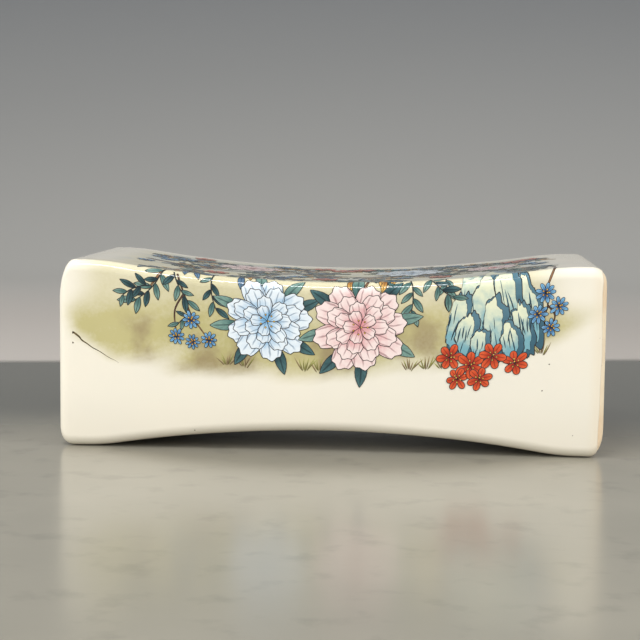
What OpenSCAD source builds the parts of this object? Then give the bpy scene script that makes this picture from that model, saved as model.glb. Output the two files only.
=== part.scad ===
// Slab-built ceramic pillow: a hollow block with a dipped headrest and an arched base.
// X runs along the length, the painted front faces -Y, and the feet stand on Z = 0.

/* [Block] */
// Length from end to end
pillow_l = 300; // [240:1:360]
// Depth from the front face to the back face
pillow_d = 130; // [100:1:170]
// Height of the raised ends above the table
pillow_h = 103; // [90:1:140]
// Radius of the rounded long edges
edge_r = 5.5; // [2:0.5:7]

/* [Headrest] */
// How far the middle of the headrest dips below its ends
headrest_dip = 10.5; // [5:0.5:20]
// Flat land at each end of the headrest
headrest_land = 12; // [10:0.5:25]
// Thickness of the headrest slab
headrest_slab = 7; // [5:0.5:10]

/* [Base] */
// How far the middle of the base arches above the table
base_arch = 11; // [5:0.5:20]
// Flat foot at each end of the base
foot_land = 12; // [10:0.5:25]
// Thickness of the base slab
base_slab = 7; // [5:0.5:10]

/* [Walls] */
// Thickness of the front and back slabs
wall_slab = 7; // [5:0.5:10]
// Radius of the shoulders where a flat land runs into its hollow
shoulder_r = 140; // [90:5:220]

/* [Ends] */
// Thickness of the slabs that close the two ends
end_slab = 9; // [7:0.5:11]
// How far the rounded edge of an end runs along the length
end_round = 8; // [4:0.5:9]
// Height over which the top of the left end rounds over
left_top_round = 21; // [6:0.5:30]
// Height over which the foot of the left end rounds over
left_foot_round = 6.5; // [6:0.5:30]
// Height over which the top of the right end rounds over
right_top_round = 8; // [6:0.5:30]
// Height over which the foot of the right end rounds over
right_foot_round = 12; // [6:0.5:30]

/* [Joints] */
// Thickness of the slip that lutes one slab to the next
slip = 0.8; // [0.4:0.1:1]
// Leg of the clay coil pressed into each inner corner
coil_leg = 4; // [3:0.5:8]
// Thickness of a coil at its smoothed-out edges
coil_feather = 0.6; // [0.4:0.1:1]

/* [Vent] */
// Diameter of the firing vent through the bare end
vent_d = 8; // [4:0.5:14]

/* [Hidden] */
$fn = 180;

half_l = pillow_l / 2;
half_d = pillow_d / 2;
half_h = pillow_h / 2;
// The rounding leaves this much of a slab's edge flat
edge_flat = 1;
edge = min(edge_r, wall_slab - edge_flat);
end_turn = min(end_round, end_slab - edge_flat);
// Joint planes, measured from the middle of the block
wall_in = half_d - wall_slab;
wall_joint = wall_in - slip;
end_in = half_l - end_slab;
end_joint = end_in - slip;
// Facets along each half of a hollow, along each shoulder, and round each edge and coil
HOLLOW_STEPS = 14;
SHOULDER_STEPS = 6;
ROUND_STEPS = 8;

GLAZED = "ivory";
BISCUIT = "tan";
SLIP_CLAY = "antiquewhite";
COIL_CLAY = "wheat";

// A hollow is one long arc, carried out to the flat lands by a shoulder at each side.
// Heights are measured from mid-height. A station is a point of the outline and its tilt.
function reach(land) = half_l - land;
function hollow_r(depth, land) = (pow(reach(land), 2) + pow(depth, 2)) / (2 * depth) - shoulder_r;
function lean(depth, land) = asin(reach(land) / (hollow_r(depth, land) + shoulder_r));
function inward(tilt) = [sin(tilt), -cos(tilt)];
function on_hollow(depth, land, tilt) =
    [0, half_h - depth + hollow_r(depth, land)] + hollow_r(depth, land) * inward(tilt);
function on_shoulder(land, tilt) =
    [reach(land), half_h - shoulder_r] - shoulder_r * inward(tilt);

// Stations of the outline from the middle out to x = stop, then from one side to the other
function half_path(depth, land, stop) = [
    for (k = [1 : HOLLOW_STEPS])
        let (tilt = lean(depth, land) * k / HOLLOW_STEPS)
        [on_hollow(depth, land, tilt), tilt],
    for (k = [1 : SHOULDER_STEPS])
        let (tilt = lean(depth, land) * (1 - k / SHOULDER_STEPS))
        [on_shoulder(land, tilt), tilt],
    [[stop, half_h], 0]
];
function flip(point) = [-point.x, point.y];
function reverse(list) = [for (k = [len(list) - 1 : -1 : 0]) list[k]];
function path(depth, land, stop) = concat(
    [for (station = reverse(half_path(depth, land, stop))) [flip(station[0]), -station[1]]],
    [[on_hollow(depth, land, 0), 0]],
    half_path(depth, land, stop)
);
// The same outline, moved into the clay by inset
function outline(depth, land, inset, stop = end_joint) =
    [for (station = path(depth, land, stop)) station[0] + inset * inward(station[1])];

// Point of a section that is swept along the outline: its x runs into the clay and its y
// back from the front face. Up is 1 along the headrest and -1 along the base.
function swept(station, section, up = 1) =
    let (point = station[0] + section.x * inward(station[1]))
    [point.x, section.y - half_d, half_h + up * point.y];

// Solid between loops of points that are lofted in order and capped at both ends
module loft(loops) {
    n = len(loops[0]);
    last = len(loops) - 1;
    polyhedron(
        [for (loop = loops) each loop],
        [
            [for (k = [0 : n - 1]) k],
            for (j = [0 : last - 1], k = [0 : n - 1])
                [j * n + k, (j + 1) * n + k, (j + 1) * n + (k + 1) % n, j * n + (k + 1) % n],
            [for (k = [n - 1 : -1 : 0]) last * n + k]
        ]
    );
}

// Rectangle between two corners, and the same with its corners rounded
module block(low, high) {
    translate(low) square(high - low);
}
module soft_block(low, high) {
    block(low + [edge, 0], high - [edge, 0]);
    block(low + [0, edge], high - [0, edge]);
    for (x = [low.x + edge, high.x - edge], y = [low.y + edge, high.y - edge])
        translate([x, y]) circle(edge);
}

// Stands a front view up and runs it along Y, or a side view along X
module along_y(from, to) {
    translate([0, to, half_h]) rotate([90, 0, 0]) linear_extrude(to - from) children();
}
module along_x(from, to) {
    translate([from, 0, half_h]) rotate([90, 0, 90]) linear_extrude(to - from) children();
}

// Moves a shape made at the headrest, the front or the right end to the opposite side
module to_base() { translate([0, 0, pillow_h]) mirror([0, 0, 1]) children(); }
module to_back() { mirror([0, 1, 0]) children(); }
module to_left() { mirror([1, 0, 0]) children(); }

// Front slab: its top and bottom edges round over from the face to the full outline, and
// then run straight back
module wall() {
    rims = concat(
        [for (k = [0 : ROUND_STEPS])
            let (turn = 90 * k / ROUND_STEPS)
            edge * [1 - sin(turn), 1 - cos(turn)]],
        [[0, wall_slab]]
    );
    top = path(headrest_dip, headrest_land, end_joint);
    foot = path(base_arch, foot_land, end_joint);
    loft([for (k = [0 : len(top) - 1]) concat(
        [for (rim = reverse(rims)) swept(top[k], rim, 1)],
        [for (rim = rims) swept(foot[k], rim, -1)]
    )]);
}

// Outline of the block's end at x, with its foot, its top and both sides drawn in
function end_loop(x, foot, top, side) =
    let (
        low = [side - half_d + edge, foot - half_h + edge],
        high = [half_d - side - edge, half_h - top - edge],
        middles = [high, [low.x, high.y], low, [high.x, low.y]]
    )
    [for (corner = [0 : 3], k = [0 : ROUND_STEPS])
        let (
            turn = 90 * (corner + k / ROUND_STEPS),
            point = middles[corner] + edge * [cos(turn), sin(turn)]
        )
        [x, point.x, half_h + point.y]];

// Right end slab: the full outline runs out from the joint, then rounds over to a flat face
module end(foot, top) {
    loft(concat(
        [end_loop(end_in, 0, 0, 0)],
        [for (k = [0 : ROUND_STEPS])
            let (turn = 90 * k / ROUND_STEPS, drawn = 1 - cos(turn))
            end_loop(half_l - end_turn * (1 - sin(turn)), foot * drawn, top * drawn, edge * drawn)]
    ));
}

// Section of the headrest slab, as seen from the front
module bed_section(depth, land, thickness) {
    polygon(concat(outline(depth, land, 0), reverse(outline(depth, land, thickness))));
}

// Headrest slab, between the slips on the front and back slabs
module bed(depth, land, thickness) {
    along_y(-wall_joint, wall_joint) bed_section(depth, land, thickness);
}

// Slip between the headrest slab and the front slab
module long_slip(depth, land, thickness) {
    along_y(-wall_in, -wall_joint) bed_section(depth, land, thickness);
}

// Slip between the front slab and the right end
module end_wall_slip() {
    along_x(end_joint, end_in) intersection() {
        soft_block([-half_d, -half_h], [half_d, half_h]);
        block([-half_d, -half_h], [-wall_in, half_h]);
    }
}

// Slip between the headrest slab and the right end
module end_bed_slip(thickness) {
    along_x(end_joint, end_in) block([-wall_in, half_h - thickness], [wall_in, half_h]);
}

// Section of a coil smoothed into a corner, with its legs along x and y. Over makes the
// leg along x thicker on its outer side.
function cove(over = 0) = concat(
    [[0, -over], [coil_leg, -over]],
    [for (k = [0 : ROUND_STEPS])
        let (turn = 90 * k / ROUND_STEPS)
        [coil_leg, coil_leg] - (coil_leg - coil_feather) * [sin(turn), cos(turn)]],
    [[0, coil_leg]]
);

// Coil under the front edge of the headrest: it stops at the left end's own coils, and at
// the right end, which closes last, it is cut off with the slab
module long_coil(depth, land, thickness) {
    difference() {
        loft([for (station = path(depth, land, end_joint))
            [for (leg = cove()) swept(station, leg + [thickness, wall_slab])]]);
        translate([-half_l, -half_d, 0]) cube([end_slab + coil_leg, pillow_d, pillow_h]);
    }
}

// All that lies below the inner face of the headrest slab, as seen from the front
module under_bed(depth, land, thickness) {
    polygon(concat(outline(depth, land, thickness, half_l), [[half_l, -half_h], [-half_l, -half_h]]));
}

// Upright coil in the corner of the left end and the front slab
module upright_coil() {
    intersection() {
        translate([-end_in, -wall_in, 0]) linear_extrude(pillow_h) polygon(cove());
        along_y(-half_d, half_d) under_bed(headrest_dip, headrest_land, headrest_slab);
        to_base() along_y(-half_d, half_d) under_bed(base_arch, foot_land, base_slab);
    }
}

// Coil in the corner of the left end and the headrest, between the two upright ones
module cross_coil(depth, land, thickness) {
    along_y(coil_leg - wall_in, wall_in - coil_leg) intersection() {
        under_bed(depth, land, thickness);
        translate([-end_in, half_h - thickness]) mirror([0, 1]) polygon(cove(over = thickness));
    }
}

module front_wall() { color(GLAZED) wall(); }
module back_wall() { color(GLAZED) to_back() wall(); }

module headrest() { color(GLAZED) bed(headrest_dip, headrest_land, headrest_slab); }
module base() { color(GLAZED) to_base() bed(base_arch, foot_land, base_slab); }

module left_end() { color(GLAZED) to_left() end(left_foot_round, left_top_round); }

module right_end() {
    color(BISCUIT) difference() {
        end(right_foot_round, right_top_round);
        translate([0, 0, half_h]) rotate([0, 90, 0]) cylinder(d = vent_d, h = pillow_l);
    }
}

module slip_headrest_front() {
    color(SLIP_CLAY) long_slip(headrest_dip, headrest_land, headrest_slab);
}
module slip_headrest_back() {
    color(SLIP_CLAY) to_back() long_slip(headrest_dip, headrest_land, headrest_slab);
}
module slip_base_front() {
    color(SLIP_CLAY) to_base() long_slip(base_arch, foot_land, base_slab);
}
module slip_base_back() {
    color(SLIP_CLAY) to_base() to_back() long_slip(base_arch, foot_land, base_slab);
}

module slip_left_front() { color(SLIP_CLAY) to_left() end_wall_slip(); }
module slip_left_back() { color(SLIP_CLAY) to_left() to_back() end_wall_slip(); }
module slip_left_headrest() { color(SLIP_CLAY) to_left() end_bed_slip(headrest_slab); }
module slip_left_base() { color(SLIP_CLAY) to_left() to_base() end_bed_slip(base_slab); }
module slip_right_front() { color(SLIP_CLAY) end_wall_slip(); }
module slip_right_back() { color(SLIP_CLAY) to_back() end_wall_slip(); }
module slip_right_headrest() { color(SLIP_CLAY) end_bed_slip(headrest_slab); }
module slip_right_base() { color(SLIP_CLAY) to_base() end_bed_slip(base_slab); }

module coil_headrest_front() {
    color(COIL_CLAY) long_coil(headrest_dip, headrest_land, headrest_slab);
}
module coil_headrest_back() {
    color(COIL_CLAY) to_back() long_coil(headrest_dip, headrest_land, headrest_slab);
}
module coil_base_front() {
    color(COIL_CLAY) to_base() long_coil(base_arch, foot_land, base_slab);
}
module coil_base_back() {
    color(COIL_CLAY) to_base() to_back() long_coil(base_arch, foot_land, base_slab);
}

module coil_left_front() { color(COIL_CLAY) upright_coil(); }
module coil_left_back() { color(COIL_CLAY) to_back() upright_coil(); }
module coil_left_headrest() {
    color(COIL_CLAY) cross_coil(headrest_dip, headrest_land, headrest_slab);
}
module coil_left_base() {
    color(COIL_CLAY) to_base() cross_coil(base_arch, foot_land, base_slab);
}

front_wall();
back_wall();
headrest();
base();
left_end();
right_end();
slip_headrest_front();
slip_headrest_back();
slip_base_front();
slip_base_back();
slip_left_front();
slip_left_back();
slip_left_headrest();
slip_left_base();
slip_right_front();
slip_right_back();
slip_right_headrest();
slip_right_base();
coil_headrest_front();
coil_headrest_back();
coil_base_front();
coil_base_back();
coil_left_front();
coil_left_back();
coil_left_headrest();
coil_left_base();
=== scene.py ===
import math
import random

import bmesh
import bpy
from mathutils import Matrix, Vector, noise


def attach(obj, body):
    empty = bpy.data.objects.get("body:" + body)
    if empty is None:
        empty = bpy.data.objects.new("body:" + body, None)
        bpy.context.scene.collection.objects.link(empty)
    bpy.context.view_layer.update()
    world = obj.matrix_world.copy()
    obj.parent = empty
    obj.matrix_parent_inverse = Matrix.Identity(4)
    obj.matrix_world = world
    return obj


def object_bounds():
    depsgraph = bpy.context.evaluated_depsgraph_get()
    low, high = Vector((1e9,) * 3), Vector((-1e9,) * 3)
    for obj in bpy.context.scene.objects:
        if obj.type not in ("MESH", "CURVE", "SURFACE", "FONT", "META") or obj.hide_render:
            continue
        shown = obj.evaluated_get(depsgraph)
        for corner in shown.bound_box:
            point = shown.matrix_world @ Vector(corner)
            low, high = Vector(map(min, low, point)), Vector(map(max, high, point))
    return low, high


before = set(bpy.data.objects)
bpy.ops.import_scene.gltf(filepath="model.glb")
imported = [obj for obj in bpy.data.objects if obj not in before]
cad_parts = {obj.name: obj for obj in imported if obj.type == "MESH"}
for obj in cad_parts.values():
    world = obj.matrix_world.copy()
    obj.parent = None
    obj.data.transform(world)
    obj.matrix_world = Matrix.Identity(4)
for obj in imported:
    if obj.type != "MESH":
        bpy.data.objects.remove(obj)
cad_low, cad_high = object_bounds()
LENGTH = cad_high.x - cad_low.x
DEPTH = cad_high.y - cad_low.y
HEIGHT = cad_high.z - cad_low.z

scene = bpy.context.scene
scene.view_settings.view_transform = "Standard"

VIEW_AIM = Vector((-0.0100, 0, 0.0659))
VIEW_AWAY = 0.9424
VIEW_AZIMUTH = math.radians(4.37)
VIEW_ELEVATION = math.radians(5.78)
VIEW_ROLL = math.radians(0.61)
VIEW_LENS = 90.4

towards = Vector((
    math.sin(VIEW_AZIMUTH) * math.cos(VIEW_ELEVATION),
    -math.cos(VIEW_AZIMUTH) * math.cos(VIEW_ELEVATION),
    math.sin(VIEW_ELEVATION),
))
camera = bpy.data.objects.new("view", bpy.data.cameras.new("view"))
scene.collection.objects.link(camera)
camera.data.lens = VIEW_LENS
camera.location = VIEW_AIM + VIEW_AWAY * towards
level = (-towards).to_track_quat("-Z", "Y").to_matrix()
camera.rotation_euler = (level @ Matrix.Rotation(VIEW_ROLL, 3, "Z")).to_euler()
scene.camera = camera


# Clay slabs: six slabs of pale stoneware body, rolled flat, cut and luted into a box. Five
# lie under the glaze. The right end was wiped clean to stand on in the kiln and shows bare.
CLAY_PALE = (0.90, 0.78, 0.57, 1)
CLAY_WARM = (0.78, 0.60, 0.40, 1)
CLAY_FLASHED = (0.55, 0.33, 0.18, 1)
GROG_BROWN = (0.30, 0.20, 0.12, 1)
GLAZED_SLABS = ("front_wall", "back_wall", "headrest", "base", "left_end")
BARE_SLAB = "right_end"


def add(tree, kind, inputs=None, **settings):
    """Shader node with its settings made, and its inputs set or linked."""
    node = tree.nodes.new("ShaderNode" + kind)
    for name, value in settings.items():
        setattr(node, name, value)
    for name, value in (inputs or {}).items():
        if isinstance(value, bpy.types.NodeSocket):
            tree.links.new(value, node.inputs[name])
        else:
            node.inputs[name].default_value = value
    return node


def calc(tree, operation, first, second=0.0, third=0.0):
    """Result of one sum on sockets or numbers."""
    return add(tree, "Math", {0: first, 1: second, 2: third}, operation=operation).outputs[0]


def soft_step(tree, value, low, high):
    """0 below low, 1 above high, with a smooth run between them."""
    limits = {"Value": value, "From Min": low, "From Max": high}
    return add(tree, "MapRange", limits, interpolation_type="SMOOTHSTEP").outputs["Result"]


def soft_fall(tree, value, low, high):
    """1 below low, 0 above high, with a smooth run between them."""
    return calc(tree, "SUBTRACT", 1.0, soft_step(tree, value, low, high))


def tint(tree, share, under, over):
    """Colour under, covered by colour over where share is 1."""
    return add(tree, "Mix", {0: share, 6: under, 7: over}, data_type="RGBA").outputs[2]


def own_place(tree):
    """The piece's own coordinates, in metres."""
    return add(tree, "TexCoord").outputs["Object"]


def along(tree, axis):
    """The piece's own coordinate along one axis."""
    return add(tree, "SeparateXYZ", {0: own_place(tree)}).outputs[axis]


def grain(tree, scale, detail=3.0):
    """Noise over the piece. Scale is in waves per metre."""
    waves = {"Vector": own_place(tree), "Scale": scale, "Detail": detail}
    return add(tree, "TexNoise", waves).outputs[0]


def drawn_grain(tree, turn, stretch, scale, detail):
    """Noise drawn out into streaks, turned and stretched along each axis."""
    ways = {"Vector": own_place(tree), "Rotation": turn, "Scale": stretch}
    drawn = add(tree, "Mapping", ways, vector_type="TEXTURE").outputs[0]
    waves = {"Vector": drawn, "Scale": scale, "Detail": detail}
    return add(tree, "TexNoise", waves).outputs[0]


def specks(tree, scale, low, high, rarity):
    """Mask of small round specks, one in each of the few cells whose lot is above rarity."""
    cells = add(tree, "TexVoronoi", {"Vector": own_place(tree), "Scale": scale})
    lot = add(tree, "SeparateColor", {0: cells.outputs["Color"]}).outputs[0]
    near = soft_fall(tree, cells.outputs["Distance"], low, high)
    return calc(tree, "MULTIPLY", near, calc(tree, "GREATER_THAN", lot, rarity))


def new_finish(name):
    """New material: gives the material, its node tree and its shader."""
    finish = bpy.data.materials.new(name)
    finish.use_nodes = True
    tree = finish.node_tree
    return finish, tree, tree.nodes["Principled BSDF"]


def raise_skin(tree, shader, height, distance, strength=1.0):
    """Fine relief of the surface. Distance is in metres."""
    bump = add(tree, "Bump", {"Height": height, "Distance": distance, "Strength": strength})
    tree.links.new(bump.outputs[0], shader.inputs["Normal"])
    return bump


def clay_group():
    """Bare clay: warm drift over the pale body, dark grog and the height of its sandy skin."""
    tree = bpy.data.node_groups.new("bare_clay", "ShaderNodeTree")
    sides = tree.interface
    sides.new_socket("Pale", in_out="INPUT", socket_type="NodeSocketColor")
    sides.new_socket("Warm", in_out="INPUT", socket_type="NodeSocketColor")
    sides.new_socket("Colour", in_out="OUTPUT", socket_type="NodeSocketColor")
    sides.new_socket("Skin", in_out="OUTPUT", socket_type="NodeSocketFloat")
    given = tree.nodes.new("NodeGroupInput").outputs
    drift = soft_step(tree, grain(tree, 35), 0.35, 0.7)
    body = tint(tree, drift, given["Pale"], given["Warm"])
    grog = specks(tree, 520.0, 0.1, 0.25, 0.94)
    speckled = tint(tree, calc(tree, "MULTIPLY", grog, 0.35), body, GROG_BROWN)
    skin = calc(tree, "ADD", grain(tree, 900), grain(tree, 2600, 2.0))
    taken = tree.nodes.new("NodeGroupOutput").inputs
    tree.links.new(speckled, taken["Colour"])
    tree.links.new(skin, taken["Skin"])
    return tree


BARE_CLAY = clay_group()


def clay_finish(name, pale, warm, roughness, relief):
    """Clay material with the shared grain: gives the material, its tree, shader, colour and relief."""
    finish, tree, shader = new_finish(name)
    clay = add(tree, "Group", node_tree=BARE_CLAY)
    clay.inputs["Pale"].default_value = pale
    clay.inputs["Warm"].default_value = warm
    sandy = raise_skin(tree, shader, clay.outputs["Skin"], relief)
    tree.links.new(clay.outputs["Colour"], shader.inputs["Base Color"])
    shader.inputs["Roughness"].default_value = roughness
    shader.inputs["Specular IOR Level"].default_value = 0.25
    return finish, tree, shader, clay.outputs["Colour"], sandy


def dress(names, finish):
    """Gives each CAD solid in names its material."""
    for name in names:
        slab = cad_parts[name]
        slab.data.materials.clear()
        slab.data.materials.append(finish)


slab_clay = clay_finish("slab_clay", CLAY_PALE, CLAY_WARM, 0.85, 0.0002)[0]
dress(GLAZED_SLABS, slab_clay)

WIPE_TILT = math.radians(4)
WIPE_STRETCH = 9
end_clay, tree, shader, clay_colour, sandy = clay_finish(
    "bare_end_clay", CLAY_PALE, CLAY_WARM, 0.8, 0.0003
)
off_middle = calc(tree, "ABSOLUTE", along(tree, 1))
off_half_height = calc(tree, "ABSOLUTE", calc(tree, "SUBTRACT", along(tree, 2), HEIGHT / 2))
to_side = calc(tree, "SUBTRACT", DEPTH / 2, off_middle)
to_top = calc(tree, "SUBTRACT", HEIGHT / 2, off_half_height)
to_rim = calc(tree, "MINIMUM", to_side, to_top)
ragged = calc(tree, "ADD", to_rim, calc(tree, "MULTIPLY", grain(tree, 90), 0.012))
flash = soft_fall(tree, ragged, 0.006, 0.017)
flashed = tint(tree, calc(tree, "MULTIPLY", flash, 0.15), clay_colour, CLAY_FLASHED)
wipes = drawn_grain(tree, (WIPE_TILT, 0, 0), (1, WIPE_STRETCH, 1), 330.0, 3.0)
streaked = tint(tree, soft_step(tree, wipes, 0.42, 0.68), flashed, CLAY_WARM)
wiped_colour = tint(tree, 0.08, flashed, streaked)
tree.links.new(wiped_colour, shader.inputs["Base Color"])
furrows = add(tree, "Bump", {"Height": wipes, "Distance": 0.0003, "Strength": 0.5})
tree.links.new(furrows.outputs[0], sandy.inputs["Normal"])
dress([BARE_SLAB], end_clay)


# Slip joints: liquid clay brushed on before the slabs are pressed together, fired as hard as
# they are. The glaze covers their outer edges.
SLIP_PALE = (0.86, 0.76, 0.60, 1)
SLIP_WARM = (0.72, 0.56, 0.38, 1)
SLIP_NODES = [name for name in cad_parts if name.startswith("slip_")]
slip_clay = clay_finish("slip_clay", SLIP_PALE, SLIP_WARM, 0.75, 0.0001)[0]
dress(SLIP_NODES, slip_clay)


# Corner coils: soft rolls of the same clay pressed into the inner corners with a finger, to
# hold the slabs while they dry. They stay unglazed inside the closed box.
COIL_PALE = (0.80, 0.66, 0.48, 1)
COIL_WARM = (0.62, 0.44, 0.28, 1)
COIL_NODES = [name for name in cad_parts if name.startswith("coil_")]
coil_clay = clay_finish("coil_clay", COIL_PALE, COIL_WARM, 0.9, 0.0004)[0]
dress(COIL_NODES, coil_clay)


# Glaze coat: creamy white glaze, dipped over everything but the right end and fired glossy.
# It is a thin closed shell over the slabs that ends in an uneven line on the bare end's edge.
GLAZE = 0.0004
GLAZE_SKIN = 0.0003
EDGE = 0.0055
LAND = 0.012
HEADREST_DIP = 0.0105
BASE_ARCH = 0.011
SHOULDER = 0.140
END_ROUND = 0.008
LEFT_FOOT, LEFT_TOP = 0.0065, 0.021
RIGHT_FOOT, RIGHT_TOP = 0.012, 0.008
STRAIGHT = LENGTH / 2 - END_ROUND
REACH = LENGTH / 2 - LAND
EDGE_STEPS = 10
ROLL_STEPS = 10
COAT_CUTS = ((0, -0.1408, 0.1408, 112), (1, -0.059, 0.059, 16), (2, 0.006, 0.097, 13))
HAND_WAVES, HAND_HEIGHT = 21, 0.00014


def fall(x, depth=HEADREST_DIP):
    """How far a hollow of that depth lies from its flat lands at x."""
    sweep = (REACH ** 2 + depth ** 2) / (2 * depth) - SHOULDER
    bend = sweep * REACH / (sweep + SHOULDER)
    x = abs(x)
    if x < bend:
        return depth - sweep + math.sqrt(sweep ** 2 - x ** 2)
    if x < REACH:
        return SHOULDER - math.sqrt(SHOULDER ** 2 - (REACH - x) ** 2)
    return 0.0


def unevenness(point):
    """Height of the hand-made surface over the true form."""
    return noise.noise(point * HAND_WAVES) * HAND_HEIGHT


def cut_across(mesh, axis, stations):
    """Cuts the whole mesh at each station along an axis."""
    for station in stations:
        place = [0, 0, 0]
        facing = [0, 0, 0]
        place[axis] = station
        facing[axis] = 1
        everything = mesh.verts[:] + mesh.edges[:] + mesh.faces[:]
        bmesh.ops.bisect_plane(mesh, geom=everything, plane_co=place, plane_no=facing)


def even_steps(low, high, count):
    """Both limits and the stations that part them into count equal steps."""
    return [low + (high - low) * k / count for k in range(count + 1)]


def add_piece(name, mesh, finishes):
    """Makes a mesh into a piece of the pillow, smooth, and lets it ride on the frame."""
    for face in mesh.faces:
        face.smooth = True
    data = bpy.data.meshes.new(name)
    mesh.to_mesh(data)
    mesh.free()
    for finish in finishes:
        data.materials.append(finish)
    piece = bpy.data.objects.new(name, data)
    scene.collection.objects.link(piece)
    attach(piece, "root")
    return piece


coat = bmesh.new()
bmesh.ops.create_cube(coat, size=1)
straight_part = (2 * STRAIGHT, DEPTH + 2 * GLAZE, HEIGHT + 2 * GLAZE)
bmesh.ops.scale(coat, vec=straight_part, verts=coat.verts)
bmesh.ops.translate(coat, vec=(0, 0, HEIGHT / 2), verts=coat.verts)
ends = [face for face in coat.faces if abs(face.calc_center_median().x) > STRAIGHT / 2]
bmesh.ops.delete(coat, geom=ends, context="FACES_ONLY")
long_edges = [edge for edge in coat.edges if not edge.is_boundary]
bmesh.ops.bevel(
    coat, geom=long_edges, offset=EDGE + GLAZE, offset_type="OFFSET", affect="EDGES",
    segments=EDGE_STEPS, profile=0.5, material=-1,
)
for axis, low, high, count in COAT_CUTS:
    cut_across(coat, axis, even_steps(low, high, count))
for vert in coat.verts:
    share = min(max((vert.co.z - EDGE) / (HEIGHT - 2 * EDGE), 0), 1)
    vert.co.z += fall(vert.co.x, BASE_ARCH) * (1 - share) - fall(vert.co.x) * share
bmesh.ops.recalc_face_normals(coat, faces=coat.faces)
coat.normal_update()
for vert in coat.verts:
    vert.co += vert.normal * unevenness(vert.co)


GLAZE_TURN = 44
FOOT_WIPE, FOOT_WIPE_AT, FOOT_WIPE_SPREAD = 11, 0.012, 0.028


def full_turn(point):
    """The glaze wraps the left end all the way to its flat face."""
    return math.pi / 2


def glaze_turn(point):
    """How far the glaze turns round the right end's edge before it runs out, less at the foot."""
    held_back = FOOT_WIPE * math.exp(-((point.z - FOOT_WIPE_AT) / FOOT_WIPE_SPREAD) ** 2)
    ragged = 6 * noise.noise(point * 45) + 3 * noise.noise(point * 190)
    return math.radians(GLAZE_TURN - held_back + ragged)


def round_the_end(base, turned, foot, top):
    """Point turned round an end's edge from base, which lies on the last full outline."""
    drawn = 1 - math.cos(turned)
    mid_y = min(max(base.y, EDGE - DEPTH / 2), DEPTH / 2 - EDGE)
    mid_z = min(max(base.z, EDGE), HEIGHT - EDGE)
    outward = Vector((0, base.y - mid_y, base.z - mid_z))
    share = (mid_z - EDGE) / (HEIGHT - 2 * EDGE)
    along_end = math.copysign((END_ROUND + GLAZE) * math.sin(turned), base.x)
    drawn_y = mid_y * (1 - EDGE * drawn / (DEPTH / 2 - EDGE))
    drawn_z = mid_z + drawn * (foot * (1 - share) - top * share)
    rounding = outward * (1 - drawn * GLAZE / (EDGE + GLAZE))
    return Vector((base.x + along_end, drawn_y, drawn_z)) + rounding


def roll_end(ring, turn_at, foot, top):
    """Rolls an open end of the coat round its edge and gives the new open edges."""
    base_of = {vert: vert.co.copy() for edge in ring for vert in edge.verts}
    for step in range(1, ROLL_STEPS + 1):
        rolled = bmesh.ops.extrude_edge_only(coat, edges=ring)["geom"]
        ring = [item for item in rolled if isinstance(item, bmesh.types.BMEdge) and item.is_boundary]
        bases = {}
        for vert in {vert for edge in ring for vert in edge.verts}:
            neighbours = [edge.other_vert(vert) for edge in vert.link_edges]
            below = next(other for other in neighbours if other in base_of)
            bases[vert] = base_of[below]
        for vert, base in bases.items():
            vert.co = round_the_end(base, turn_at(base) * step / ROLL_STEPS, foot, top)
        base_of = bases
    return ring


left_ring = [edge for edge in coat.edges if edge.is_boundary and edge.verts[0].co.x < 0]
right_ring = [edge for edge in coat.edges if edge.is_boundary and edge.verts[0].co.x > 0]
flat_rim = roll_end(left_ring, full_turn, LEFT_FOOT, LEFT_TOP)
bmesh.ops.edgeloop_fill(coat, edges=flat_rim)
roll_end(right_ring, glaze_turn, RIGHT_FOOT, RIGHT_TOP)
bmesh.ops.recalc_face_normals(coat, faces=coat.faces)

GLAZE_CREAM = (0.86, 0.80, 0.665, 1)
GLAZE_MELLOW = (0.83, 0.78, 0.66, 1)
GLAZE_THIN = (0.83, 0.68, 0.47, 1)
GLAZE_SHADED_LOW = (0.77, 0.71, 0.585, 1)
WASH_OLIVE = (0.53, 0.475, 0.225, 1)
WASH_GREEN = (0.40, 0.36, 0.14, 1)
WASH_UMBER = (0.25, 0.17, 0.10, 1)
WASH_MIST = (0.42, 0.50, 0.54, 1)
IRON = (0.10, 0.05, 0.02, 1)
WASH_SLOPE, WASH_FOOT, WASH_CURVE = 0.04, 0.0402, 0.9
WASH_LEFT, WASH_RIGHT, WASH_BACK = (-0.151, -0.136), (0.122, 0.162), (0.036, 0.058)
HEADREST_FRONT = (-0.062, -0.050)
BARE_MARGIN = (0.108, 0.132)
BRUSH_SLANT = math.radians(-14)
BRUSH_STRETCH = 3.0


def product(tree, first, *others):
    """All the masks multiplied together."""
    for other in others:
        first = calc(tree, "MULTIPLY", first, other)
    return first


def gloss_between(tree, shader, share, low, high):
    """Roughness that drifts from low to high with share."""
    drifting = add(tree, "MapRange", {"Value": share, "To Min": low, "To Max": high})
    tree.links.new(drifting.outputs[0], shader.inputs["Roughness"])


glaze, tree, shader = new_finish("cream_glaze")
across = along(tree, 0)
back = along(tree, 1)
up = along(tree, 2)
out_from_middle = calc(tree, "ABSOLUTE", across)
drift = grain(tree, 16, 4.0)
cloud = grain(tree, 42, 4.0)
sponged = grain(tree, 560, 2.0)
strokes = drawn_grain(tree, (0, BRUSH_SLANT, 0), (BRUSH_STRETCH, 1, 1), 55.0, 4.0)

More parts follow.
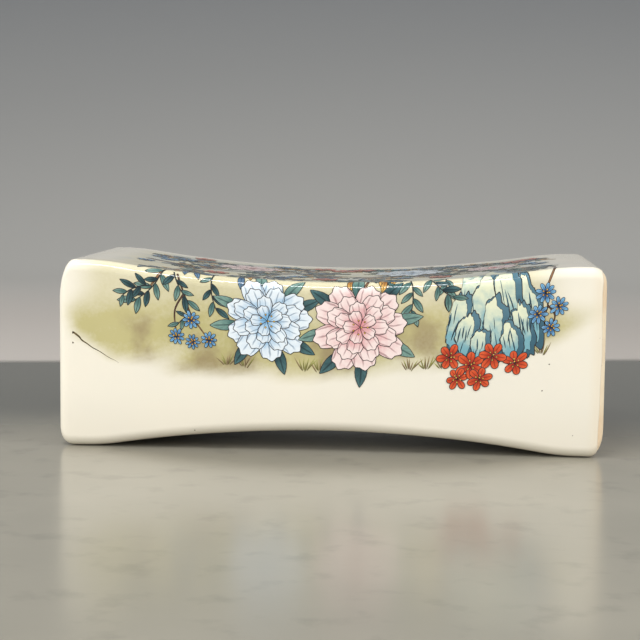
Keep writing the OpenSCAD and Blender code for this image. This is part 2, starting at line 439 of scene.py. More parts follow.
# The olive wash lies over a foot line that climbs to the right and curls up at both ends
foot_of_wash = calc(tree, "MULTIPLY_ADD", across, WASH_SLOPE, WASH_FOOT)
spread = product(tree, across, across, WASH_CURVE)
spread = calc(tree, "MULTIPLY_ADD", soft_step(tree, across, 0.115, 0.150), 0.008, spread)
spread = calc(tree, "MULTIPLY_ADD", soft_fall(tree, across, -0.146, -0.115), 0.010, spread)
over_foot = calc(tree, "SUBTRACT", up, calc(tree, "ADD", foot_of_wash, spread))
wavering = calc(tree, "MULTIPLY", calc(tree, "SUBTRACT", strokes, 0.5), 0.014)
in_wash = soft_step(tree, calc(tree, "ADD", over_foot, wavering), -0.004, 0.010)
ragged_left = calc(tree, "MULTIPLY_ADD", calc(tree, "SUBTRACT", strokes, 0.5), 0.008, across)
on_top = soft_step(tree, back, *HEADREST_FRONT)
margin = product(tree, on_top, soft_step(tree, out_from_middle, *BARE_MARGIN))
off_margin = calc(tree, "SUBTRACT", 1.0, margin)
far_right = soft_step(tree, across, 0.104, 0.134)
far_left = soft_fall(tree, across, -0.146, -0.122)
right_corner = product(tree, far_right, soft_step(tree, up, 0.072, 0.089))
left_corner = product(tree, far_left, soft_step(tree, up, 0.070, 0.090))
off_corners = calc(tree, "SUBTRACT", 1.0, calc(tree, "ADD", right_corner, left_corner))
wash = product(
    tree, in_wash, soft_step(tree, ragged_left, *WASH_LEFT), soft_fall(tree, across, *WASH_RIGHT),
    soft_fall(tree, back, *WASH_BACK), off_margin, off_corners,
)
low_down = soft_fall(tree, up, 0.060, 0.104)
depth_of_wash = calc(tree, "MULTIPLY_ADD", low_down, 0.47, 0.50)
dabbed = calc(tree, "MULTIPLY_ADD", sponged, 0.35, 0.27)
patchy = calc(tree, "MULTIPLY_ADD", strokes, 1.1, dabbed)
meadow = soft_step(tree, grain(tree, 24, 3.0), 0.40, 0.78)
under_motifs = product(
    tree, in_wash, soft_fall(tree, over_foot, 0.016, 0.042),
    soft_fall(tree, out_from_middle, 0.100, 0.128), soft_step(tree, grain(tree, 31, 4.0), 0.47, 0.66),
    soft_fall(tree, back, -0.064, -0.058),
)
mist = product(
    tree, on_top, off_margin, soft_fall(tree, back, 0.036, 0.056),
    soft_step(tree, grain(tree, 33, 3.0), 0.46, 0.62),
)

# The coats of colour are laid over each other from the bare glaze upwards
mellow = tint(tree, soft_step(tree, drift, 0.3, 0.7), GLAZE_CREAM, GLAZE_MELLOW)
# Painted shade: the glaze darkens towards the foot and over the base, standing in for light that falls off
# near the table
low_painted_shade = calc(tree, "MULTIPLY", soft_fall(tree, up, 0.002, 0.038), 0.8)
shaded_low_glaze = tint(tree, low_painted_shade, mellow, GLAZE_SHADED_LOW)
thin_end = soft_step(tree, across, 0.1395, 0.1470)
thinned = tint(tree, calc(tree, "MULTIPLY", thin_end, 0.32), shaded_low_glaze, GLAZE_THIN)
greened = tint(tree, calc(tree, "MULTIPLY", meadow, 0.5), WASH_OLIVE, WASH_GREEN)
washed = tint(tree, product(tree, wash, depth_of_wash, patchy), thinned, greened)
misted = tint(tree, calc(tree, "MULTIPLY", mist, 0.5), washed, WASH_MIST)
smudged = tint(tree, product(tree, under_motifs, patchy, 0.6), misted, WASH_UMBER)
speck = specks(tree, 75.0, 0.012, 0.03, 0.93)
specked = tint(tree, calc(tree, "MULTIPLY", speck, 0.75), smudged, IRON)
tree.links.new(specked, shader.inputs["Base Color"])

fine_peel = calc(tree, "MULTIPLY", grain(tree, 700, 2.0), 0.2)
peel = calc(tree, "ADD", grain(tree, 180, 2.0), fine_peel)
raise_skin(tree, shader, peel, 0.00012, 0.16)
gloss_between(tree, shader, cloud, 0.04, 0.09)
shader.inputs["IOR"].default_value = 1.5

glaze_coat = add_piece("glaze_coat", coat, [glaze])
skin = glaze_coat.modifiers.new("skin", "SOLIDIFY")
skin.thickness = GLAZE_SKIN
skin.offset = -1


# Twigs: the first strokes of the enamel picture, dark brown boughs drawn over the glaze and
# fired on again. They run along the headrest and bend down over the front edge.
MM = 0.001
FIRST_LIFT = 0.03
LAYER = 0.012
FILM = 0.00006
SLIVER = 0.004
ARC = (EDGE + GLAZE) * math.pi / 2
INK, PAINT = 0, 1
KNOT_SIZE, KNOT_WAVES = 0.22, 9
PICTURE_END, LENGTH_CUTS = 136, 34
PICTURE_FOOT, PICTURE_BACK = -60, 110
EDGE_CUTS = 14


def pigment(red, green, blue, mark=0.0):
    """Enamel colour from its screen values. Mark is how strongly its drawn lines show."""
    parts = [value / 255 for value in (red, green, blue)]
    linear = [v / 12.92 if v < 0.04045 else ((v + 0.055) / 1.055) ** 2.4 for v in parts]
    return (*linear, mark)


def on_coat(u, s, lift, side=1):
    """Point lift above the glaze: u runs along the pillow, s up the wall and over its edge.
    Side is 1 for the front and -1 for the back."""
    turned = min(max(s / ARC + 0.5, 0), 1) * math.pi / 2
    facing = Vector((0, -side * math.cos(turned), math.sin(turned)))
    over = max(s - ARC / 2, 0)
    under = min(s + ARC / 2, 0)
    axis = Vector((side * u, side * (EDGE - DEPTH / 2 + over), HEIGHT - fall(u) - EDGE + under))
    point = axis + facing * (EDGE + GLAZE)
    return point + facing * (unevenness(point) + lift)


def new_picture():
    """Empty flat drawing, in millimetres, with room for each stroke's own map and colours."""
    picture = bmesh.new()
    picture.loops.layers.uv.new("stroke")
    picture.loops.layers.float_color.new("tip")
    picture.loops.layers.float_color.new("root")
    return picture


def colour_in(picture, faces, length, width, tip, root):
    """Gives the faces of one stroke, drawn along x, its map and its two colours."""
    stroke = picture.loops.layers.uv["stroke"]
    tips = picture.loops.layers.float_color["tip"]
    roots = picture.loops.layers.float_color["root"]
    for loop in (loop for face in faces for loop in face.loops):
        loop[stroke].uv = (loop.vert.co.y / width + 0.5, loop.vert.co.x / length)
        loop[tips] = tip
        loop[roots] = root


def set_down(picture, faces, place, layer, bow=0.0, length=1.0):
    """Bends a finished stroke sideways, moves it to its place and lifts it to its layer."""
    verts = list({vert for face in faces for vert in face.verts})
    for vert in verts:
        vert.co.y += bow * vert.co.x ** 2 / length
    bmesh.ops.transform(picture, matrix=place, verts=verts)
    for vert in verts:
        vert.co.z = FIRST_LIFT + LAYER * layer


def outlined(picture, verts, ink):
    """Faces of a disc whose rim is inset as an ink line. The painted middle comes first."""
    body = verts[0].link_faces[0]
    body.normal_update()
    if body.normal.z < 0:
        body.normal_flip()
    rim = []
    if ink > 0:
        rim = bmesh.ops.inset_individual(
            picture, faces=[body], thickness=ink, use_even_offset=True
        )["faces"]
    for face in rim:
        face.material_index = INK
    body.material_index = PAINT
    return [body] + rim


def brush(picture, place, length, width, tip, root, layer,
          base=0.35, point=0.0, frill=0.0, lobes=5, bow=0.0, ink=0.4, sides=26):
    """One petal, leaf or stroke, drawn out along its length from a disc."""
    verts = bmesh.ops.create_circle(picture, cap_ends=True, segments=sides, radius=1)["verts"]
    for vert in verts:
        ahead, aside = vert.co.x, vert.co.y
        run = 0.5 + 0.5 * ahead
        swell = (base + (1 - base) * run) * (1 - point * run ** 3)
        wave = frill * math.cos(lobes * math.atan2(aside, ahead)) * max(ahead, 0)
        vert.co = (length * (run + wave), width * 0.5 * aside * swell, 0)
    faces = outlined(picture, verts, ink)
    colour_in(picture, faces, length, width, tip, root)
    set_down(picture, faces, place, layer, bow, length)


def spot(u, s, turn=0.0, squash=1.0):
    """Place in the drawing: a point, a turn in degrees and a squash up and down."""
    turned = Matrix.Rotation(math.radians(turn), 4, "Z")
    return Matrix.Translation((u, s, 0)) @ Matrix.Diagonal((1, squash, 1, 1)) @ turned


def smooth_point(points, share):
    """Point and heading on the smooth curve through the points, from 0 to 1 along it."""
    spans = len(points) - 1
    k = min(int(share * spans), spans - 1)
    t = share * spans - k
    before = Vector(points[max(k - 1, 0)])
    first = Vector(points[k])
    second = Vector(points[k + 1])
    after = Vector(points[min(k + 2, spans)])
    go_in = (second - before) / 2
    go_out = (after - first) / 2
    bend = 3 * (second - first) - 2 * go_in - go_out
    settle = 2 * (first - second) + go_in + go_out
    place = first + go_in * t + bend * t * t + settle * t ** 3
    heading = go_in + 2 * bend * t + 3 * settle * t * t
    return place, heading.normalized()


def bough(picture, points, thick, thin, tip, root, layer, ink=0.3, steps=36):
    """Tapered stroke along a smooth curve, with an ink line down each side."""
    verts = bmesh.ops.create_grid(picture, x_segments=steps, y_segments=3, size=1)["verts"]
    faces = list({face for vert in verts for face in vert.link_faces})
    for face in faces:
        centre = face.calc_center_median()
        face.material_index = INK if abs(centre.y) > 0.4 else PAINT
    colour_in(picture, faces, 1, 2, tip, root)
    for vert in verts:
        share = vert.co.x / 2 + 0.5
        half = (thick + (thin - thick) * share) / 2
        knots = 1 + KNOT_SIZE * noise.noise(Vector((share * KNOT_WAVES, *points[0])))
        offset = half * knots if abs(vert.co.y) > 0.6 else max(half * knots - ink, 0.02)
        place, heading = smooth_point(points, share)
        sideways = Vector((-heading.y, heading.x)) * math.copysign(offset, vert.co.y)
        vert.co = (place.x + sideways.x, place.y + sideways.y, FIRST_LIFT + LAYER * layer)


def lay_on(name, picture, finishes, side=1, rows=0):
    """Wraps a flat drawing round the pillow and makes it a thin film of enamel.
    Rows is how often its large shapes are cut across to follow the surface."""
    bmesh.ops.triangulate(picture, faces=picture.faces[:])
    cut_across(picture, 0, even_steps(-PICTURE_END, PICTURE_END, LENGTH_CUTS))
    cut_across(picture, 1, even_steps(-ARC / 2 / MM, ARC / 2 / MM, EDGE_CUTS))
    if rows:
        cut_across(picture, 1, even_steps(PICTURE_FOOT, PICTURE_BACK, rows))
    bmesh.ops.dissolve_degenerate(picture, dist=SLIVER, edges=picture.edges[:])
    bmesh.ops.triangulate(picture, faces=picture.faces[:])
    for vert in picture.verts:
        vert.co = on_coat(vert.co.x * MM, vert.co.y * MM, vert.co.z * MM, side)
    piece = add_piece(name, picture, finishes)
    film = piece.modifiers.new("film", "SOLIDIFY")
    film.thickness = FILM
    film.offset = -1


enamel_ink, tree, shader = new_finish("enamel_ink")
thinned_ink = soft_step(tree, grain(tree, 260), 0.35, 0.75)
ink_colour = tint(tree, thinned_ink, pigment(26, 24, 26), pigment(66, 56, 52))
tree.links.new(ink_colour, shader.inputs["Base Color"])
gloss_between(tree, shader, grain(tree, 420), 0.05, 0.14)

SIDE_RIBS = 5.0
PETAL_FOLDS = 4
LINE_SHADE = (0.35, 0.33, 0.36, 1)
enamel, tree, shader = new_finish("enamel_paint")
tips = add(tree, "Attribute", attribute_name="tip").outputs
roots = add(tree, "Attribute", attribute_name="root").outputs
stroke_uv = add(tree, "UVMap", uv_map="stroke").outputs[0]
aside, ahead = add(tree, "SeparateXYZ", {0: stroke_uv}).outputs[:2]
loaded = calc(tree, "MULTIPLY", calc(tree, "SUBTRACT", grain(tree, 210), 0.5), 0.9)
laid = soft_step(tree, calc(tree, "ADD", ahead, loaded), 0.1, 0.95)
painted = tint(tree, laid, roots["Color"], tips["Color"])
off_rib = calc(tree, "ABSOLUTE", calc(tree, "SUBTRACT", aside, 0.5))
not_tip = soft_fall(tree, ahead, 0.80, 0.97)
rib = soft_fall(tree, off_rib, 0.025, 0.06)
ribs_ahead = calc(tree, "MULTIPLY", ahead, SIDE_RIBS)
slant = calc(tree, "SUBTRACT", ribs_ahead, calc(tree, "MULTIPLY", off_rib, SIDE_RIBS))
side_wave = calc(tree, "SINE", calc(tree, "MULTIPLY", slant, math.tau))
side_rib = soft_step(tree, side_wave, 0.80, 0.98)
ribs = calc(tree, "MAXIMUM", rib, calc(tree, "MULTIPLY", side_rib, 0.4))
ribs = product(tree, ribs, not_tip, roots["Alpha"])
crumple = calc(tree, "MULTIPLY", grain(tree, 120), 5.0)
fold = calc(tree, "MULTIPLY_ADD", aside, PETAL_FOLDS * math.tau, crumple)
folds = soft_step(tree, calc(tree, "SINE", fold), 0.72, 0.99)
folds = product(tree, folds, not_tip, tips["Alpha"])
lines = calc(tree, "MULTIPLY", calc(tree, "MAXIMUM", ribs, folds), 0.75)
shade = {0: 1.0, 6: roots["Color"], 7: LINE_SHADE}
deepened = add(tree, "Mix", shade, data_type="RGBA", blend_type="MULTIPLY").outputs[2]
lined = tint(tree, lines, painted, deepened)
tree.links.new(lined, shader.inputs["Base Color"])
gloss_between(tree, shader, grain(tree, 300), 0.04, 0.12)
ENAMELS = [enamel_ink, enamel]

TWIG_DARK = pigment(86, 58, 44)
TWIG_LIGHT = pigment(150, 108, 70)
MAIN_BOUGH = [(-112, 62), (-70, 46), (-25, 56), (20, 40), (70, 52), (112, 38)]
FAR_BOUGH = [(-112, 88), (-66, 97), (-22, 86), (26, 98), (72, 88), (116, 96)]
SIDE_BOUGHS = [
    [(-70, 46), (-84, 26), (-90, 6), (-99, -9)],
    [(-25, 56), (-36, 32), (-37, 10), (-34, -8)],
    [(20, 40), (26, 22), (21, 4), (17, -10)],
    [(112, 38), (121, 22), (122, 6), (117, -9)],
    [(-25, 56), (-14, 80), (8, 104)],
    [(70, 52), (82, 78), (97, 102)],
    [(-70, 46), (-88, 74), (-93, 102)],
    [(20, 40), (42, 70), (44, 100)],
]
FLOWER_TWIGS = [
    [(-84, 1), (-80, -10), (-76, -21), (-67, -33)],
    [(-80, -10), (-85, -20), (-84, -33)],
    [(117, -9), (118, -18), (115, -27)],
    [(118, -18), (122, -24), (119, -32)],
]
twigs = new_picture()
bough(twigs, MAIN_BOUGH, 4.2, 2.0, TWIG_LIGHT, TWIG_DARK, 1)
bough(twigs, FAR_BOUGH, 3.4, 1.6, TWIG_LIGHT, TWIG_DARK, 1)
for k, points in enumerate(SIDE_BOUGHS):
    bough(twigs, points, 2.4, 1.1, TWIG_LIGHT, TWIG_DARK, 0.08 * k)
for points in FLOWER_TWIGS:
    bough(twigs, points, 1.2, 0.7, TWIG_LIGHT, TWIG_DARK, 0, ink=0.25, steps=18)
lay_on("twigs", twigs, ENAMELS)


# Garden rock: upright peaks of enamel, each with a lit face of pale yellow and teal, a shaded
# side and dark cracks. They rise from the grass at the right and run back over the edge.
ROCK_CREAM = pigment(228, 230, 198)
ROCK_TEAL = pigment(120, 170, 180)
ROCK_DEEP = pigment(58, 96, 112)
ROCK_SHADE = pigment(34, 48, 56)
ROCK_GREY = pigment(88, 124, 138)
CRACKS_A_PEAK = 5
chance = random.Random(11)


def stone_blot(picture, place, wide, tall, seed, tip, root, layer, ink=0.45):
    """Irregular rounded patch with an ink rim."""
    verts = bmesh.ops.create_circle(picture, cap_ends=True, segments=72, radius=1)["verts"]
    for vert in verts:
        around = Vector((vert.co.x, vert.co.y, seed))
        lumps = 0.30 * noise.noise(around * 1.5) + 0.15 * noise.noise(around * 4)
        lumps += 0.07 * noise.noise(around * 9)
        swell = 1 + lumps
        vert.co = (tall * (0.5 + vert.co.x * swell / 2), wide * vert.co.y * swell / 2, 0)
    faces = outlined(picture, verts, ink)
    colour_in(picture, faces, tall, wide, tip, root)
    set_down(picture, faces, place, layer)


PEAKS = (
    (103, -41, 19, 68, -7), (76, -41, 17, 60, 6), (91, -42, 21, 74, 2), (113, -41, 14, 44, -11),
    (68, -41, 14, 37, 10), (83, -43, 16, 49, 5), (99, -43, 17, 53, -4), (108, -44, 13, 31, -9),
    (74, -44, 13, 27, 8), (90, -45, 15, 35, 1), (82, -46, 12, 20, 6), (100, -46, 13, 22, -5),
)
rock = new_picture()
for k, (u, s, wide, tall, lean) in enumerate(PEAKS):
    layer = 1 + k
    seed = 3.1 * k + 1
    upright = 90 - lean
    stone_blot(rock, spot(u, s, upright), wide, tall, seed, ROCK_GREY, ROCK_DEEP, layer)
    lit_face = spot(u - 0.11 * wide, s + 0.10 * tall, upright)
    stone_blot(rock, lit_face, 0.72 * wide, 0.84 * tall, seed, ROCK_CREAM, ROCK_TEAL, layer + 0.4, 0.2)
    for j in range(CRACKS_A_PEAK):
        crack_u = u + wide * (0.10 * j - 0.32)
        crack_s = s + tall * chance.uniform(0.15, 0.5)
        at = spot(crack_u, crack_s, upright + chance.uniform(-9, 9))
        brush(rock, at, tall * chance.uniform(0.18, 0.38), chance.uniform(0.6, 1.3), ROCK_DEEP, ROCK_SHADE,
              layer + 0.7, base=0.5, point=0.6, bow=chance.uniform(-0.15, 0.15), ink=0.0, sides=16)
lay_on("garden_rock", rock, ENAMELS, rows=28)


# Leaf sprays: pointed teal, blue-grey and ochre leaves on thin stems, thick along the
# headrest's boughs and hanging loose down the front.
LEAF_TEAL = (pigment(128, 160, 148), pigment(70, 108, 104, 0.9))
LEAF_DARK = (pigment(72, 108, 110), pigment(30, 56, 62, 0.9))
LEAF_BLUE = (pigment(104, 136, 160), pigment(52, 78, 106, 0.9))
LEAF_OCHRE = (pigment(222, 178, 98), pigment(156, 104, 48, 0.9))


def leaf(picture, place, length, tones, layer):
    """One pointed leaf with a little bend of its own."""
    tip, root = tones
    brush(picture, place, length, length * 0.52, tip, root, layer,
          base=0.62, point=0.72, bow=chance.uniform(-0.12, 0.12), ink=0.36, sides=20)


def spray(picture, start, heading, length, curl, count, size, tones, layer):
    """Thin curved stem with leaves set to left and right in turn, and one at its end."""
    points = [start]
    for k in range(4):
        bearing = math.radians(heading + curl * k / 3)
        u, s = points[-1]
        points.append((u + length / 4 * math.cos(bearing), s + length / 4 * math.sin(bearing)))
    bough(picture, points, 0.8, 0.5, LEAF_DARK[0], LEAF_DARK[1], layer, ink=0.2, steps=12)
    for k in range(count):
        share = (k + 0.8) / count
        place, onward = smooth_point(points, min(share, 1))
        aim = math.degrees(math.atan2(onward.y, onward.x))
        aim += (58 if k % 2 else -58) * (1 - 0.5 * share) + chance.uniform(-12, 12)
        grown = size * chance.uniform(0.85, 1.15)
        leaf(picture, spot(place.x, place.y, aim), grown, chance.choice(tones), layer + 0.4 + 0.25 * k)


HANGING = [LEAF_TEAL, LEAF_TEAL, LEAF_DARK]
leaves = new_picture()
for start, heading, length, curl, count, size, layer in (
    ((-91, 4), -112, 27, -30, 9, 9.5, 3),
    ((-99, -8), -168, 17, 30, 6, 8.5, 5),
    ((-86, 2), -72, 18, 18, 6, 8.5, 6),
    ((-64, 3), -100, 20, 30, 6, 9, 4),
    ((-76, -21), -150, 9, 20, 3, 6.5, 2),
    ((44, 4), -78, 22, -24, 7, 9, 4),
    ((54, 6), -62, 20, 30, 6, 9, 5),
    ((64, 8), -100, 15, 24, 5, 8.5, 3),
):
    spray(leaves, start, heading, length, curl, count, size, HANGING, layer)
lay_on("hanging_leaves", leaves, ENAMELS)

THICK = [LEAF_DARK, LEAF_DARK, LEAF_TEAL, LEAF_BLUE, LEAF_OCHRE]
NEAR_EDGE, FAR_EDGE, SIDE_EDGE = 12, 113, 124
SPRAY_DEEP, SPRAY_WIDE = 27, 30
SPRAYS = 52
for name, boughs in (
    ("near_foliage", [MAIN_BOUGH, MAIN_BOUGH, *SIDE_BOUGHS[:4]]),
    ("far_foliage", [FAR_BOUGH, FAR_BOUGH, *SIDE_BOUGHS[4:]]),
):
    foliage = new_picture()
    for k in range(SPRAYS):
        place, onward = smooth_point(boughs[k % len(boughs)], chance.uniform(0.03, 0.98))
        if place.y < NEAR_EDGE:
            continue
        bearing = math.degrees(math.atan2(onward.y, onward.x))
        heading = bearing + chance.choice((-1, 1)) * chance.uniform(30, 75)
        if place.y + SPRAY_DEEP * math.sin(math.radians(heading)) > FAR_EDGE:
            heading = -heading
        if abs(place.x + SPRAY_WIDE * math.cos(math.radians(heading))) > SIDE_EDGE:
            heading = 180 - heading
        spray(foliage, (place.x, place.y), heading, chance.uniform(13, 20), chance.uniform(-30, 30), 6,
              chance.uniform(8.5, 11.5), THICK, 2 + (k % 9) * 0.8)
    lay_on(name, foliage, ENAMELS)


# Red camellias: round flowers of six orange-red petals with yellow stamens, in a cluster at
# the foot of the rock and scattered over the headrest.
RED_LIGHT = pigment(224, 92, 48, 0.15)
RED_DEEP = pigment(172, 48, 26, 0.8)
STAMEN = pigment(236, 196, 92)
STAMEN_DEEP = pigment(176, 120, 40)


def stamens(picture, place, radius, count, layer):
    """Ring of small round stamens with one in the middle."""
    for k in range(count + 1):
        away = radius if k else 0.0
        at = place @ Matrix.Rotation(math.tau * k / count, 4, "Z") @ Matrix.Translation((away, 0, 0))
        brush(picture, at, 1.3, 1.2, STAMEN, STAMEN_DEEP, layer + 0.1 * k, base=0.9, ink=0.2, sides=12)


def camellia(picture, place, size, layer):
    """Six petals, each turned a little by chance, round their stamens."""
    for k in range(6):
        at = place @ Matrix.Rotation(math.tau * k / 6 + chance.uniform(-0.12, 0.12), 4, "Z")
        brush(picture, at, size * chance.uniform(0.9, 1.08), size * 0.82, RED_LIGHT, RED_DEEP,
              layer + 0.3 * (k % 3) + 0.05 * k, base=0.4, point=0.18, ink=0.38)
    stamens(picture, place, size * 0.2, 5, layer + 2)


camellias = new_picture()
for k, (u, s, size) in enumerate((
    (66, -41, 7.6), (77, -46, 8.2), (89, -42, 7.8), (82, -54, 7.0), (101, -47, 7.4), (70, -53, 6.4),
    (2, 88, 8.5), (14, 96, 8.0), (-10, 99, 7.6), (103, 92, 8.0), (-66, 26, 7.8), (60, 24, 7.6),
    (112, 98, 7.0), (-4, 20, 7.4), (-84, 108, 7.2),
)):
    camellia(camellias, spot(u, s, 25 * k), size, 14 + (k % 4))
lay_on("red_camellias", camellias, ENAMELS)


# Blue asters: nine-petalled flowers in two blues with ochre hearts, hanging from the twigs at
# both sides of the front and scattered over the headrest.
ASTER_LIGHT = pigment(128, 182, 218, 0.0)
ASTER_DEEP = pigment(48, 98, 152, 0.7)


def aster(picture, place, size, layer):
    """Nine narrow petals round a small heart."""
    for k in range(9):
        at = place @ Matrix.Rotation(math.tau * k / 9 + chance.uniform(-0.06, 0.06), 4, "Z")
        brush(picture, at, size * chance.uniform(0.92, 1.06), size * 0.56, ASTER_LIGHT, ASTER_DEEP,
              layer + 0.25 * (k % 3) + 0.04 * k, base=0.4, point=0.1, ink=0.32, sides=18)
    stamens(picture, place, size * 0.18, 5, layer + 2)


asters = new_picture()
for k, (u, s, size) in enumerate((
    (117, -11, 5.8), (124, -19, 5.4), (113, -22, 5.6), (120, -30, 5.2), (-76, -24, 5.2), (-66, -34, 4.8),
    (-84, -34, 4.8), (-75, -36, 4.2), (-100, 74, 6.4), (-108, 84, 5.8), (-92, 88, 6.0), (110, 66, 6.2),
    (116, 56, 5.6), (36, 96, 6.2), (-20, 34, 6.0), (-28, 26, 5.6), (-110, 48, 5.4), (76, 86, 6.0),
    (68, 104, 5.6), (-36, 102, 5.8), (40, 28, 5.6),
)):
    aster(asters, spot(u, s, 17 * k), size, 14 + (k % 4))
lay_on("blue_asters", asters, ENAMELS)


# Peonies: full flowers of four rings of frilled petals over a wreath of leaves. One pale blue
# and one pink hang on the front, just under the edge, and three more lie on the headrest.
PINK_PALE = pigment(242, 222, 216, 0.8)
PINK_DEEP = pigment(214, 138, 142, 0.0)
BLUE_PALE = pigment(228, 236, 240, 0.8)
BLUE_DEEP = pigment(120, 174, 212, 0.0)
PEONY_RINGS = ((9, 1.0, 0.74), (8, 0.80, 0.62), (7, 0.58, 0.50), (5, 0.38, 0.40))


def peony(picture, u, s, size, squash, pale, deep, layer):
    """Leaves first, then the rings of petals from the widest inwards, then the stamens."""
    place = spot(u, s, 0, squash)
    for k in range(8):
        at = place @ Matrix.Rotation(math.tau * (k + 0.3) / 8 + chance.uniform(-0.2, 0.2), 4, "Z")
        at = at @ Matrix.Translation((size * 0.62, 0, 0))
        leaf(picture, at, size * 0.72, chance.choice((LEAF_DARK, LEAF_TEAL)), layer + 0.1 * k)
    for ring, (count, reach, width) in enumerate(PEONY_RINGS):
        for k in range(count):
            turned = math.tau * (k + 0.5 * ring) / count + chance.uniform(-0.1, 0.1)
            at = place @ Matrix.Rotation(turned, 4, "Z")
            brush(picture, at, size * reach * chance.uniform(0.93, 1.05), size * width, pale, deep,
                  layer + 1 + 1.6 * ring + 0.15 * k, base=0.3, frill=0.035, lobes=9, ink=0.4, sides=40)
    stamens(picture, place, size * 0.13, 7, layer + 8)


peonies = new_picture()
peony(peonies, -34, -21, 24, 0.95, BLUE_PALE, BLUE_DEEP, 8)
peony(peonies, 17, -23, 26, 0.95, PINK_PALE, PINK_DEEP, 10)
peony(peonies, -52, 76, 19, 1.0, PINK_PALE, PINK_DEEP, 9)
peony(peonies, 42, 66, 20, 1.0, BLUE_PALE, BLUE_DEEP, 9)
peony(peonies, 90, 62, 15, 1.0, PINK_PALE, PINK_DEEP, 9)
lay_on("peonies", peonies, ENAMELS, rows=28)


# Grass: low tufts of thin olive and umber strokes, flicked upwards with a fine brush, at the
# foot of the picture.
GRASS = ((pigment(166, 164, 96), pigment(116, 110, 62)), (pigment(158, 140, 100), pigment(112, 94, 66)))
GRASS_RISE, GRASS_CURVE = 45, 0.0009
TUFTS = (-56, -46, -13, -5, 44, 53, 62, 115)
BLADES = 7
grass = new_picture()
for u in TUFTS:
    foot = -(HEIGHT - fall(u * MM)) / MM + GRASS_RISE + GRASS_CURVE * u * u
    for k in range(BLADES):
        off_centre = k - BLADES // 2
        blade = chance.uniform(4.5, 9.0)
        blade_foot = foot + chance.uniform(-0.8, 0.8)
        at = spot(u + 0.5 * off_centre, blade_foot, 90 - 13 * off_centre + chance.uniform(-8, 8))
        tip, root = chance.choice(GRASS)
        brush(grass, at, blade, 0.9, tip, root, 0.2 * k, base=0.9, point=0.85,
              bow=chance.uniform(-0.2, 0.2), ink=0.0, sides=14)
lay_on("grass", grass, ENAMELS)


# Back spray: one small branch with leaves and three flowers, painted alone on the white back
# in the same enamels as the front.
back_spray = new_picture()
BACK_BOUGH = [(-46, -34), (-18, -24), (10, -31), (40, -22)]
bough(back_spray, BACK_BOUGH, 2.2, 1.0, TWIG_LIGHT, TWIG_DARK, 0)
for k in range(9):
    place, onward = smooth_point(BACK_BOUGH, 0.1 + 0.1 * k)
    hand = 1 if k % 2 else -1
    aim = math.degrees(math.atan2(onward.y, onward.x)) + 55 * hand
    spray(back_spray, (place.x, place.y), aim, 13, 20 * hand, 5, 8, HANGING, 1 + 0.8 * (k % 4))
camellia(back_spray, spot(-8, -26, 10), 8.0, 9)
aster(back_spray, spot(26, -25, 5), 5.6, 9)
aster(back_spray, spot(-30, -30, 40), 5.2, 9)
lay_on("back_spray", back_spray, ENAMELS, -1)


# Firing marks: one dark crack that opened in the glaze near the left end, thinning out to the
# right, and a few iron specks burnt through from the clay.
crack_finish, tree, shader = new_finish("fired_crack")
burnt = soft_step(tree, grain(tree, 480), 0.35, 0.7)
crack_colour = tint(tree, burnt, pigment(58, 48, 30), pigment(112, 96, 62))
tree.links.new(crack_colour, shader.inputs["Base Color"])
shader.inputs["Roughness"].default_value = 0.6
CRACK = [
    (-142.2, -39.0), (-141.0, -39.2), (-138.2, -41.4), (-136.7, -43.2), (-133.8, -45.0),
    (-130.8, -47.0), (-126.4, -49.0), (-122.0, -51.4), (-118.5, -52.6), (-116.0, -53.6),
]
IRON_SPECKS = ((-141.8, -45.1, 0.9), (119.6, -50.5, 0.7), (116.1, -64.5, 0.7), (-73.7, -85.4, 0.6))
marks = new_picture()
bough(marks, CRACK, 1.15, 0.04, IRON, IRON, 0, ink=0.25, steps=60)
for u, s, size in IRON_SPECKS:
    stone_blot(marks, spot(u, s, 90), size, size, u, IRON, IRON, 0, 0.1)
lay_on("firing_marks", marks, [crack_finish, crack_finish])


# Table and studio: a pale stone table with a painted shadow beside and behind the pillow, that
# turns up into a grey cloth with painted shade darkening it upwards. Five soft lamps and an even
# sky light it. Of the lamps, only the overhead one shows in the gloss.
FLOOR_DROP = GLAZE + 0.0002
TABLE_HALF, TABLE_SHIFT = 3, -1.0
CLOTH_RISE, CLOTH_BEND, CLOTH_STEPS = 3, 0.9, 24
STONE_PALE, STONE_VEIN = (0.275, 0.257, 0.207, 1), (0.318, 0.296, 0.238, 1)
STONE_STREAK, STONE_SHADED = (0.15, 0.14, 0.115, 1), (0.080, 0.081, 0.071, 1)
CLOTH_FLAT, CLOTH_LOW = (0.440, 0.402, 0.362, 1), (0.515, 0.497, 0.457, 1)
CLOTH_HIGH_SHADED = (0.275, 0.278, 0.278, 1)
HEM_SLANT, HEM = -0.18, (0.325, 0.355)
table = bmesh.new()
bmesh.ops.create_grid(table, x_segments=1, y_segments=1, size=TABLE_HALF)
bmesh.ops.translate(table, vec=(0, TABLE_SHIFT, -FLOOR_DROP), verts=table.verts)
far_edge = [edge for edge in table.edges if all(vert.co.y > 0 for vert in edge.verts)]
risen = bmesh.ops.extrude_edge_only(table, edges=far_edge)["geom"]
risen_verts = [item for item in risen if isinstance(item, bmesh.types.BMVert)]
bmesh.ops.translate(table, vec=(0, 0, CLOTH_RISE), verts=risen_verts)
bmesh.ops.bevel(
    table, geom=far_edge, offset=CLOTH_BEND, offset_type="OFFSET", affect="EDGES",
    segments=CLOTH_STEPS, profile=0.5, material=-1,
)
bmesh.ops.recalc_face_normals(table, faces=table.faces)
for face in table.faces:
    face.smooth = True
table_data = bpy.data.meshes.new("table")
table.to_mesh(table_data)
table.free()
stone, tree, shader = new_finish("table_stone")
veins = soft_step(tree, grain(tree, 7, 3.0), 0.3, 0.75)
clean_stone = tint(tree, veins, STONE_PALE, STONE_VEIN)
streaks = soft_step(tree, grain(tree, 45, 7.0), 0.52, 0.74)
streaked_stone = tint(tree, calc(tree, "MULTIPLY", streaks, 0.30), clean_stone, STONE_STREAK)
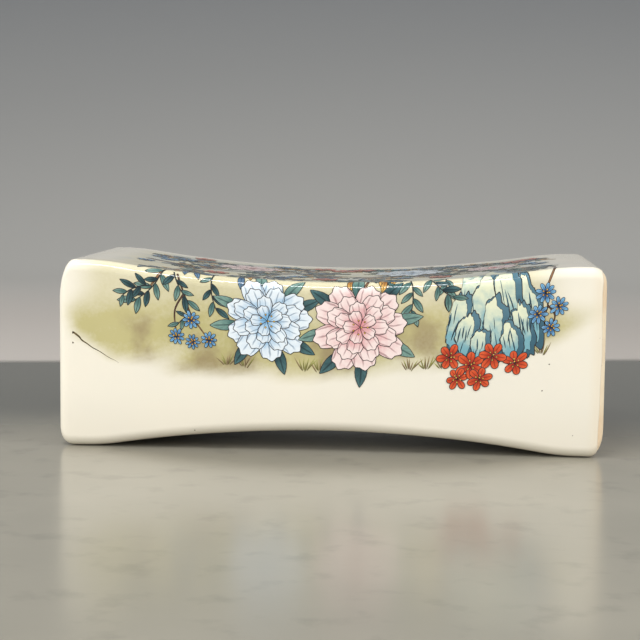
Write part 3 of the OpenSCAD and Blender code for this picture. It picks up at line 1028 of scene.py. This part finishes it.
# Painted shadow: the stone darkens from just in front of the pillow to behind it, across the whole table
painted_shadow = soft_step(tree, along(tree, 1), -0.082, 0.080)
stone_colour = tint(tree, calc(tree, "MULTIPLY", painted_shadow, 0.85), streaked_stone, STONE_SHADED)
# Painted shade: the cloth darkens from its foot upwards, standing in for light falling off up the backdrop
cloth_heights = {"Value": along(tree, 2), "From Min": 0.0, "From Max": 0.46}
height = add(tree, "MapRange", cloth_heights).outputs[0]
cloth_painted_falloff = tint(tree, height, CLOTH_LOW, CLOTH_HIGH_SHADED)
curving = soft_step(tree, along(tree, 1), 0.55, 1.25)
backdrop = tint(tree, curving, CLOTH_FLAT, cloth_painted_falloff)
to_hem = calc(tree, "MULTIPLY_ADD", along(tree, 0), HEM_SLANT, along(tree, 1))
on_cloth = soft_step(tree, to_hem, *HEM)
tree.links.new(tint(tree, on_cloth, stone_colour, backdrop), shader.inputs["Base Color"])
gloss_between(tree, shader, on_cloth, 0.20, 0.6)
raise_skin(tree, shader, grain(tree, 60, 6.0), 0.0005, 0.12)
table_data.materials.append(stone)
table_top = bpy.data.objects.new("table", table_data)
scene.collection.objects.link(table_top)

world = bpy.data.worlds.new("studio")
world.use_nodes = True
sky = world.node_tree.nodes["Background"].inputs
sky["Color"].default_value = (0.93, 0.96, 1, 1)
sky["Strength"].default_value = 0.55
scene.world = world


def soft_lamp(name, place, aim, wide, deep, watts, mirrored):
    """Soft box that faces aim. Mirrored says whether the gloss shows it."""
    lamp = bpy.data.objects.new(name, bpy.data.lights.new(name, "AREA"))
    lamp.data.shape = "RECTANGLE"
    lamp.data.size = wide
    lamp.data.size_y = deep
    lamp.data.energy = watts
    lamp.location = place
    lamp.rotation_euler = (Vector(aim) - Vector(place)).to_track_quat("-Z", "Y").to_euler()
    lamp.visible_glossy = mirrored
    scene.collection.objects.link(lamp)


soft_lamp("overhead", (-0.22, -0.48, 1.12), (-0.02, -0.04, 0.08), 0.46, 0.14, 4.2, True)
soft_lamp("front", (-0.30, -1.5, 0.55), (0, 0, 0.05), 1.0, 1.0, 9.3, False)
soft_lamp("left", (-1.15, -0.45, 0.50), (-0.15, 0, 0.05), 0.5, 0.5, 7.4, False)
soft_lamp("right", (1.15, -0.40, 0.55), (0.15, 0, 0.05), 0.5, 0.5, 8.5, False)
soft_lamp("behind", (-0.25, 0.60, 1.05), (-0.02, 0, 0.08), 0.8, 0.6, 4.2, False)


# Last, the placements of the scene are brought up to date.
bpy.context.view_layer.update()
